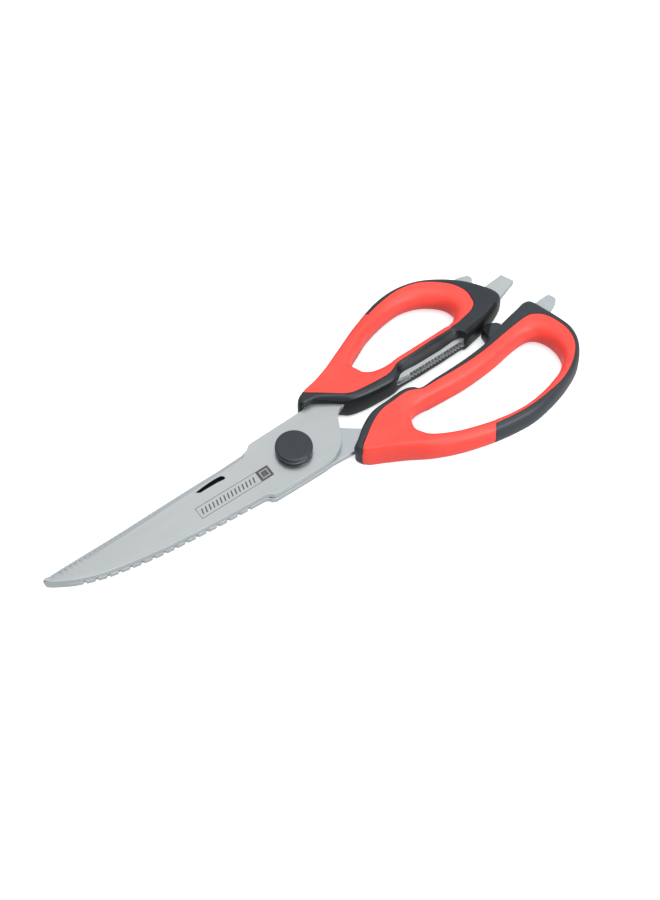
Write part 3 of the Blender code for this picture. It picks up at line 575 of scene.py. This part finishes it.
def plates():
    front = [
        ground_edge([(-10.0, -13.3), (-5.0, -12.8), (5.0, -11.8), (12.4, -11.0)], 1, LINE),
        ground_edge([(13.4, -10.6), (14.6, -9.3), (15.8, -8.8)], 1, LINE),
        ground_edge([(17.5, -8.6), (30.0, -7.3), (40.0, -6.4), (50.0, -5.5), (60.0, -4.6),
                     (70.0, -3.7), (80.0, -2.8), (90.0, -2.0), (98.0, -1.4), (101.0, -1.2)], 2,
                    ((1.6, 1.3), (3.0, 1.5)), teeth=(28.4, 81.5, 2.1, 0.45, 0.5)),
        ground_edge([(103.4, -0.9), (104.5, -0.2), (104.0, 0.5)], 1, ((0.5, 0.35), (0.5, 0.35))),
        ground_edge([(103.0, 1.3), (100.0, 3.0), (95.0, 5.3), (90.0, 7.0), (85.0, 8.3), (80.0, 9.1),
                     (70.0, 10.3), (60.0, 11.0), (50.0, 11.25), (40.0, 11.3), (30.0, 11.2),
                     (18.6, 11.0)], 2, LINE),
        ground_edge([(17.3, 11.2), (16.5, 12.2), (15.4, 12.8)], 1, LINE),
        ground_edge([(13.5, 12.8), (8.3, 12.4), (-1.7, 11.9), (-6.7, 11.4), (-11.7, 10.1),
                     (-15.8, 7.3), (-18.4, 3.5)], 2, LINE),
        ground_edge(list(reversed(FRONT_TANG_UPPER)), 1, LINE),
        ground_edge(list(reversed(FRONT_JAW)), 2, ((1.1, 1.7), (1.1, 1.7)),
                    teeth=(5.2, 30.3, 1.45, 0.5, 0.3)),
        ground_edge(list(reversed(FRONT_TANG_END)), 1, LINE),
        ground_edge(list(reversed(FRONT_TANG_LOWER)), 1, LINE),
    ]
    rear = [
        ground_edge([(-19.0, -1.8), (-16.6, -6.4), (-13.0, -9.9), (-8.0, -12.2), (0.0, -12.0),
                     (12.4, -10.9)], 1, LINE),
        ground_edge([(13.6, -10.6), (15.0, -9.8), (16.4, -9.5)], 1, LINE),
        ground_edge([(20.3, -9.0), (26.7, -8.4), (37.7, -7.6), (48.8, -6.6), (60.0, -5.5),
                     (69.0, -4.6), (79.0, -3.8), (87.0, -3.2), (95.0, -2.6), (100.0, -2.1)], 2, LINE),
        ground_edge([(102.8, -1.6), (104.0, -0.8), (103.6, 0.5)], 1, ((0.4, 0.3), (0.4, 0.3))),
        ground_edge([(102.0, 1.7), (95.0, 5.3), (85.0, 8.35), (78.0, 9.4), (70.0, 10.35),
                     (60.0, 11.05), (50.0, 11.3), (40.0, 11.35), (30.0, 11.25), (18.8, 11.05)], 2,
                    ((1.2, 0.3), (1.2, 0.3)), teeth=(8.0, 80.5, 4.4, 0.8, 0.66)),
        ground_edge([(17.6, 11.5), (16.8, 12.6)], 1, LINE),
        ground_edge([(15.4, 13.1), (10.0, 12.8), (0.0, 12.1), (-6.0, 11.6), (-10.0, 11.0)], 1, LINE),
        ground_edge(REAR_TANG_UPPER, 1, LINE),
        ground_edge(REAR_TIP, 5, ((0.5, 0.5), (0.5, 0.5))),
        ground_edge(REAR_TANG_LOWER, 1, LINE),
    ]
    return front, rear


FRONT_STRETCHES, REAR_STRETCHES = plates()
front_blade = blank("blade_front", FRONT_STRETCHES, FRONT_Z[0], FRONT_Z[1], FACE, jaw=8)
rear_blade = blank("blade_rear", REAR_STRETCHES, REAR_Z[1], REAR_Z[0], FACE_REAR)

SLOT = [(27.5, -3.3), (27.6, -3.7), (28.1, -4.3), (28.6, -4.55), (29.2, -4.65), (31.4, -4.6),
        (33.6, -4.4), (36.8, -3.9), (39.7, -3.35), (39.9, -3.25), (39.8, -3.1), (38.7, -2.35), (38.4, -2.3),
        (34.8, -2.55), (31.2, -2.75), (28.3, -2.65), (27.8, -2.75), (27.55, -3.0)]
slot_line = SLOT
# the cutter hands its near-black steel to the slot's cut walls: painted shade down the narrow slot
cut(front_blade, prism("slot_cutter", slot_line, 5.0, 9.5, (SLOT_SHADE,), hidden=True))

for ob, name in ((front_blade, "front_bolt_hole"), (rear_blade, "rear_bolt_hole")):
    ring = [(3.1 * math.cos(math.tau * k / 64), 3.1 * math.sin(math.tau * k / 64)) for k in range(64)]
    cut(ob, prism(name, ring, 1.0, 11.0, (WALL,), hidden=True))

# the pry tip's last few millimetres are ground down to a wedge
bm = bmesh.new()
wedge = [(-117.4, 5.92), (-124.5, 5.92), (-124.5, 4.9)]
sides = []
for y in (-14.0, 0.0):
    sides.append([bm.verts.new((x * MM, y * MM, z * MM)) for x, z in wedge])
bm.faces.new(sides[0])
bm.faces.new(sides[1][::-1])
for i in range(3):
    j = (i + 1) % 3
    bm.faces.new((sides[0][i], sides[1][i], sides[1][j], sides[0][j]))
cut(rear_blade, new_object("wedge_cutter", bm, (GROUND,), hidden=True))

# a thin near-black sheet inside the slot, no real part: painted shade down the slot
slot_shade_sheet = prism("slot_shadow_sheet", offset_outline(slot_line, -0.08), 6.16, 6.75, (SLOT_SHADE,), bevel=0.03)
lifter = prism("lid_lifter", [(p[0], p[1]) for p in catmull([list(p) for p in LIFTER], 4, closed=True)],
               FRONT_Z[0], FRONT_Z[1], (FACE,), bevel=0.25, segments=3)


# ------------------------------------------------------------------ handles
def section(row, red):
    """One section of a handle.  Red is a channel over its inner side; black is
    the rim on the outer side and the web inside the red."""
    q0 = row[4]
    width = math.dist(row[0:2], row[2:4])
    skin = min(SKIN, 0.25 * width)

    def both(qs, inset):
        top = [section_point(row, q, inset) for q in qs]
        low = [section_point(row, q, inset, True) for q in reversed(qs)]
        return top + low[1:]

    def spread(a, b, count):
        return [a + (b - a) * (1 - math.cos(math.pi * k / (count - 1))) / 2 for k in range(count)]

    # near the ends of the parting line the columns stay where they are along the
    # section, so the red's end face stays clean
    slide = min(max((q0 - 0.15) / 0.2, 0.0), 1.0)
    qs = [max(a, q0) * (1 - slide) + b * slide
          for a, b in zip(spread(0.0, 1.0, RED_POINTS), spread(q0, 1.0, RED_POINTS))]
    if red:
        top = [section_point(row, q, -0.0) for q in qs]
        low = [section_point(row, q, 0.0, True) for q in reversed(qs)]
        return top + low[1:] + both(qs, skin)[::-1]
    edge = max(q0 - GROOVE / max(width, 4.0) * 1.6, 0.0)
    rim = [section_point(row, q, 0.0, True) for q in
           [edge + (0.0 - edge) * k / (RIM_POINTS - 1) for k in range(RIM_POINTS)]]
    rim += [section_point(row, q, 0.0) for q in
            [edge * k / (RIM_POINTS - 1) for k in range(1, RIM_POINTS)]]
    web = [edge] + qs[1:]
    return rim + both(web, skin + GROOVE)


def crossing(row, line):
    """Share of a section at which it meets the parting line in plan, or 0."""
    s, h = Vector(row[0:2]), Vector(row[2:4])
    d = h - s
    best = 0.0
    for a, b in zip(line, line[1:]):
        a, b = Vector(a), Vector(b)
        e = b - a
        det = d.x * -e.y + d.y * e.x
        if abs(det) < 1e-9:
            continue
        r = a - s
        t = (r.x * -e.y + r.y * e.x) / det
        u = (d.x * r.y - d.y * r.x) / det
        if -1e-6 <= u <= 1 + 1e-6 and 0.0 < t < 0.95:
            best = max(best, t)
    return best


SHADED_WALL_COLUMNS = 4                  # columns of the rim, each way from its middle, that make its wall; on the thumb core these take the painted shade


def loft(name, spokes, red, mat, first, last, shaded_wall=None):
    """A ring of sections.  The parting line runs through the spokes' own parting
    places; first and last are its ends on the outer side."""
    spokes = [list(s) for s in spokes]
    n = len(spokes)
    start = next(i for i in range(n) if spokes[i][4] > 0 and spokes[i - 1][4] <= 0
                 and spokes[i][0] < -40)
    middle = []
    for k in range(n):
        s = spokes[(start + k) % n]
        if s[4] > 0:
            middle.append([s[0] + (s[2] - s[0]) * s[4], s[1] + (s[3] - s[1]) * s[4]])
    line = [tuple(p) for p in first] + [tuple(p) for p in catmull(middle, 5)] + [tuple(p) for p in last]
    rows = catmull(spokes, FINE, closed=True)
    for row in rows:
        row.append(inner_reach(row))
        row[4] = crossing(row, line)
        row[4] = min(parting_q(row), 0.9) if row[4] > 0.004 else 0.0
    # at a nose the parting line's last bit is square to the section
    whole_rows = []
    for row, after in zip(rows, rows[1:] + rows[:1]):
        whole_rows.append(row)
        for one, other, at in ((row, after, 0.96), (after, row, 0.04)):
            if one[4] > 0 and other[4] <= 0 and one[0] > -40:
                extra = [a + (b - a) * at for a, b in zip(row, after)]
                extra[4] = 0.3 * one[4]
                whole_rows.append(extra)
    rows = whole_rows
    bm = bmesh.new()
    rings = []
    for row in rows:
        rings.append([bm.verts.new((x * MM, y * MM, z * MM)) for x, y, z in section(row, red)])
    n, m = len(rings), len(rings[0])
    joints = {m - 1, m // 2 - 1} if red else set()
    for i in range(n):
        a, b = rings[i], rings[(i + 1) % n]
        whole = red and rows[i][4] <= 0 and rows[(i + 1) % n][4] <= 0
        for j in range(m):
            k = (j + 1) % m
            if whole and j in joints:      # red closes on itself here
                continue
            f = bm.faces.new((a[j], a[k], b[k], b[j]))
            # wall faces between the handles take the near-black material: painted shade where the other handle
            # shades them
            columns = SHADED_WALL_COLUMNS + (2 if -80.0 < rows[i][0] < -50.4 else 0)
            if shaded_wall and -101.5 < rows[i][0] < -11.0 and rows[i][1] > -14.8 \
                    and -columns <= j - (RIM_POINTS - 1) < columns:
                f.material_index = 1
    bmesh.ops.remove_doubles(bm, verts=bm.verts[:], dist=0.000002)
    bmesh.ops.dissolve_degenerate(bm, edges=bm.edges[:], dist=0.000002)
    return new_object(name, bm, (mat, shaded_wall) if shaded_wall else (mat,), smooth=42)


# the parting lines pass these places at the noses and at their ends
THUMB_VISIBLE = [list(s) for s in THUMB_SPOKES]
THUMB_VISIBLE[2][4] = 0.0
THUMB_VISIBLE[21][1], THUMB_VISIBLE[21][8] = -8.6, -3.0
for i, share in ((0, 0.28), (1, 0.173), (32, 0.204), (31, 0.189), (30, 0.205), (29, 0.252), (28, 0.32),
                 (27, 0.36), (26, 0.40), (25, 0.50)):
    THUMB_VISIBLE[i][4] = share
for i in range(8, 13):
    THUMB_VISIBLE[i][4] += 0.06
for i, out in ((3, 0.5), (4, 0.5), (5, 0.2), (8, 0.15), (9, 0.45), (10, 0.5), (11, 0.4), (12, 0.15)):
    s = THUMB_VISIBLE[i]
    push = (Vector(s[0:2]) - Vector(s[2:4])).normalized() * out
    s[0], s[1] = s[0] + push.x, s[1] + push.y
THUMB_ENDS = [(-53.3, -38.4), (-54.3, -36.4)], [(-15.9, -17.8), (-14.6, -18.7), (-13.7, -19.3)]
FINGER_VISIBLE = [list(s) for s in FINGER_SPOKES]
for i, share in ((0, 0.145), (32, 0.155), (31, 0.195)):
    FINGER_VISIBLE[i][4] = share
for i, out in ((30, 0.1), (31, 0.35), (32, 0.6), (0, 0.5), (1, 0.2)):
    FINGER_VISIBLE[i][2] += out
for i, out in ((1, 0.2), (2, 0.45), (3, 0.3), (4, 0.1)):
    FINGER_VISIBLE[i][3] += out
FINGER_ENDS = [(-66.7, 34.2), (-68.3, 30.9)], [(-21.4, 14.1), (-20.5, 15.0), (-19.6, 15.9)]

# the thumb core takes the darker black, and its inner wall the near-black one: both painted shade
thumb_core = loft("thumb_core_moulding", THUMB_VISIBLE, False, BLACK_THUMB_SHADED, *THUMB_ENDS, shaded_wall=BLACK_PAINTED_SHADE)
thumb_grip = loft("thumb_grip_overmould", THUMB_VISIBLE, True, RED, *THUMB_ENDS)
finger_core = loft("finger_core_moulding", FINGER_VISIBLE, False, BLACK, *FINGER_ENDS)
finger_grip = loft("finger_grip_overmould", FINGER_VISIBLE, True, RED, *FINGER_ENDS)

front_tang = [tuple(p) for p in FRONT_TANG_UPPER[::-1][2:]] + [tuple(p) for p in FRONT_JAW[::-1]] \
    + [tuple(p) for p in FRONT_TANG_END[::-1]] + [tuple(p) for p in FRONT_TANG_LOWER[::-1][1:]] \
    + [(-8.0, -12.0)]
rear_tang = [(-12.0, 10.9)] + [tuple(p) for p in REAR_TANG_UPPER] + [tuple(p) for p in REAR_TIP[1:]] \
    + [tuple(p) for p in REAR_TANG_LOWER[1:]]
cut(thumb_core,
    prism("front_pocket", offset_outline(front_tang, TANG_GAP), FRONT_Z[0] - TANG_GAP,
          FRONT_Z[1] + TANG_GAP, hidden=True),
    prism("lifter_pocket", offset_outline(LIFTER, TANG_GAP), FRONT_Z[0] - TANG_GAP,
          FRONT_Z[1] + TANG_GAP, hidden=True))
cut(finger_core,
    prism("rear_pocket", offset_outline(rear_tang, TANG_GAP), REAR_Z[0] - TANG_GAP,
          REAR_Z[1] + TANG_GAP, hidden=True))
for ob in (thumb_core, finger_core):
    ob.data.shade_smooth()
    ob.data.set_sharp_from_angle(angle=math.radians(42))
# the stop block takes the near-black material: painted shade between the handles
stop_block = prism("stop_block", [(-88.8, 0.0), (-97.0, -3.6), (-96.2, -8.6), (-92.5, -10.3),
                                  (-89.2, -9.4)], 2.2, 8.6, (BLACK_PAINTED_SHADE,), bevel=0.7, segments=4)
stop_shoulder = prism("stop_shoulder", [(-87.4, 0.4), (-88.3, -3.6), (-90.5, -6.0), (-92.0, -7.4),
                                        (-92.9, -7.5), (-95.4, -5.9), (-94.8, -2.0)],
                      4.0, 11.7, (BLACK,), bevel=0.6, segments=4)

# -------------------------------------------------------------------- pivot
knob = turned("knob_cap", rounded([(0.0, 12.0), (5.75, 12.0), (6.75, 11.75), (7.05, 11.1),
                                   (7.05, 10.1), (6.5, 8.62), (5.7, 8.62), (5.6, 8.9), (5.6, 11.1),
                                   (0.0, 11.1)], 0.55), (KNOB,))
cap = turned("back_cap_disc", rounded([(0.0, 0.8), (5.4, 0.8), (5.4, 3.4), (6.6, 3.4), (6.6, 0.6),
                                       (6.0, 0.0), (2.2, 0.0), (1.9, 0.25), (0.0, 0.25)], 0.35), (KNOB,))


# ---------------------------------------------------- etched panel, left blank
def strip_frame(name, corners, width, z):
    """A thin closed band round a four-cornered outline, etched on the steel."""
    bm = bmesh.new()
    outer = [Vector(c) for c in corners]
    centre = sum(outer, Vector((0, 0))) / 4
    inner = [Vector(p) for p in offset_outline([tuple(c) for c in corners], -width)]
    lo = [bm.verts.new((p.x * MM, p.y * MM, (z - 0.02) * MM)) for p in outer + inner]
    hi = [bm.verts.new((p.x * MM, p.y * MM, z * MM)) for p in outer + inner]
    for i in range(4):
        j = (i + 1) % 4
        bm.faces.new((hi[i], hi[j], hi[4 + j], hi[4 + i]))
        bm.faces.new((lo[i], lo[4 + i], lo[4 + j], lo[j]))
        bm.faces.new((lo[i], lo[j], hi[j], hi[i]))
        bm.faces.new((lo[4 + i], hi[4 + i], hi[4 + j], lo[4 + j]))
    return new_object(name, bm, (ETCH,))


TOP = FRONT_Z[1] + 0.012
PANEL = [(17.0, 0.63), (43.7, 2.56), (43.4, 7.72), (16.85, 5.60)]
panel = strip_frame("etched_outline", PANEL, 0.2, TOP)
badge = prism("etched_square", [(11.75, 0.22), (17.0, 0.63), (16.85, 5.60), (11.55, 5.17)],
              FRONT_Z[1] - 0.02, TOP, (ETCH,))
badge_line = strip_frame("etched_square_line", [(12.75, 1.25), (16.0, 1.50), (15.9, 4.65),
                                                (12.65, 4.37)], 0.3, TOP + 0.006)
badge_line.data.materials[0] = FACE

# a plain row of slanting strokes fills the panel
bm = bmesh.new()
along, across = (Vector(PANEL[1]) - Vector(PANEL[0])) / 26.8, (Vector(PANEL[3]) - Vector(PANEL[0])) / 5.0
for k in range(15):
    base = Vector(PANEL[0]) + along * (1.7 + k * 1.62) + across * 1.35
    corners = [base, base + along * 0.55, base + along * 1.15 + across * 2.5, base + along * 0.6 + across * 2.5]
    lo = [bm.verts.new((c.x * MM, c.y * MM, (FRONT_Z[1] - 0.02) * MM)) for c in corners]
    hi = [bm.verts.new((c.x * MM, c.y * MM, TOP * MM)) for c in corners]
    bm.faces.new(hi)
    bm.faces.new(lo[::-1])
    for i in range(4):
        j = (i + 1) % 4
        bm.faces.new((lo[i], lo[j], hi[j], hi[i]))
strokes = new_object("etched_strokes", bm, (ETCH,))

# ------------------------------------------------------- what stands for what
for ob, body, slot, stands in (
        (front_blade, "front_half", "blade_steel", "front_blade"),
        (rear_blade, "rear_half", "blade_steel", "rear_blade"),
        (lifter, "front_half", "blade_steel", "lifter_tip"),
        (thumb_core, "front_half", "black_plastic", "thumb_core"),
        (thumb_grip, "front_half", "red_overmould", "thumb_grip"),
        (finger_core, "rear_half", "black_plastic", "finger_core"),
        (finger_grip, "rear_half", "red_overmould", "finger_grip"),
        (knob, "rear_half", "black_plastic", "pivot_knob"),
        (cap, "rear_half", "black_plastic", "back_cap"),
        (slot_shade_sheet, "front_half", "blade_steel", None),
        (stop_block, "rear_half", "black_plastic", None),
        (stop_shoulder, "rear_half", "black_plastic", None),
        (panel, "front_half", "blade_steel", None),
        (badge, "front_half", "blade_steel", None),
        (badge_line, "front_half", "blade_steel", None),
        (strokes, "front_half", "blade_steel", None)):
    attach(ob, body)
    if stands:
        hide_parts(stands)
for name in ("pivot_bolt", "pivot_nut", "front_washer", "rear_washer", "spring_washer"):
    ob = NODES[name]
    ob.data.materials.clear()
    ob.data.materials.append(BOLT)

# -------------------------------------------------------------- floor, lights
bm = bmesh.new()
bmesh.ops.create_grid(bm, x_segments=1, y_segments=1, size=3.0)
bmesh.ops.translate(bm, vec=Vector((0, 0, -0.0004)), verts=bm.verts[:])
pale = Nodes("pale_floor", (0.93, 0.935, 0.94), 0.9, Emission_Strength=0.55)
pale.bsdf.inputs["Emission Color"].default_value = (0.98, 0.99, 1.0, 1.0)
pale = pale.done(pale.ramp(pale.noise(pale.mapped((1, 1, 1)), 6.0, 2.0),
                           [(0.3, (0.925, 0.93, 0.935)), (0.7, (0.94, 0.945, 0.95))]))
floor = new_object("floor", bm, (pale,))
floor.visible_diffuse = False
floor.visible_glossy = False

# a soft white tent, brightest overhead and behind; the table shines up more weakly
world = bpy.data.worlds.new("studio")
bpy.context.scene.world = world
world.use_nodes = True
sky = world.node_tree
background = sky.nodes["Background"]


def maths(kind, a, b=None, c=None):
    n = sky.nodes.new("ShaderNodeMath")
    n.operation = kind
    for i, v in enumerate((a, b, c)):
        if isinstance(v, (int, float)):
            n.inputs[i].default_value = v
        elif v is not None:
            sky.links.new(v, n.inputs[i])
    return n.outputs["Value"]


def levels(value, stops):
    """A grey ramp over a value from -1 to 1."""
    r = sky.nodes.new("ShaderNodeValToRGB")
    el = r.color_ramp.elements
    while len(el) < len(stops):
        el.new(0.5)
    for e, (at, level) in zip(el, stops):
        e.position = (at + 1) / 2
        e.color = (level, level, level, 1.0)
    sky.links.new(maths("MULTIPLY_ADD", value, 0.5, 0.5), r.inputs["Fac"])
    return r.outputs["Color"]


way = sky.nodes.new("ShaderNodeSeparateXYZ")
sky.links.new(sky.nodes.new("ShaderNodeTexCoord").outputs["Generated"], way.inputs["Vector"])
path = sky.nodes.new("ShaderNodeLightPath")
lean = maths("MULTIPLY_ADD", way.outputs["X"], -0.22,
             maths("MULTIPLY_ADD", way.outputs["Y"], -0.35, maths("MULTIPLY", way.outputs["Z"], 0.91)))
above = levels(lean, [(-0.4, 0.10), (0.0, 0.32), (0.35, 0.66), (0.7, 0.90), (0.95, 0.98), (1.0, 1.0)])
under = levels(way.outputs["X"], [(-1.0, 0.82), (1.0, 0.72)])
under = maths("MULTIPLY", under, maths("MULTIPLY_ADD", path.outputs["Is Diffuse Ray"], -0.6, 1.0))
up = maths("GREATER_THAN", way.outputs["Z"], 0.0)
level = maths("ADD", maths("MULTIPLY", above, up),
              maths("MULTIPLY", under, maths("SUBTRACT", 1.0, up)))
background.inputs["Color"].default_value = (0.985, 1.0, 1.0, 1.0)
sky.links.new(level, background.inputs["Strength"])


def softbox(name, place, aim, size, power, colour=(1, 1, 1)):
    data = bpy.data.lights.new(name, "AREA")
    data.shape = "RECTANGLE"
    data.size, data.size_y = size
    data.energy = power
    data.color = colour
    ob = bpy.data.objects.new(name, data)
    ob.location = place
    ob.rotation_mode = "QUATERNION"
    ob.rotation_quaternion = (Vector(aim) - Vector(place)).to_track_quat("-Z", "Y")
    bpy.context.scene.collection.objects.link(ob)
    return ob


AIM = (-0.01, 0.0, 0.0)
softbox("key_box", (-0.02, 0.36, 1.20), AIM, (0.8, 0.7), 6.0)
softbox("front_box", (-0.35, 1.05, 0.42), AIM, (0.7, 0.45), 11.0)

# ------------------------------------------------------------------- camera
AZ, EL, DISTANCE = math.radians(148.003), math.radians(57.0), 0.9
back = Vector((math.sin(AZ) * math.cos(EL), -math.cos(AZ) * math.cos(EL), math.sin(EL)))
cam_data = bpy.data.cameras.new("camera")
cam_data.lens = 36.0 * 2421.0 / 900.0
cam_data.sensor_width = 36.0
cam_data.clip_start, cam_data.clip_end = 0.01, 20.0
cam = bpy.data.objects.new("camera", cam_data)
cam.location = Vector((-0.014218, 0.002270, 0.0)) + back * DISTANCE
cam.rotation_mode = "QUATERNION"
cam.rotation_quaternion = (-back).to_track_quat("-Z", "Y")
bpy.context.scene.collection.objects.link(cam)
bpy.context.scene.camera = cam
bpy.context.scene.view_settings.view_transform = "Standard"
bpy.context.scene.view_settings.look = "None"
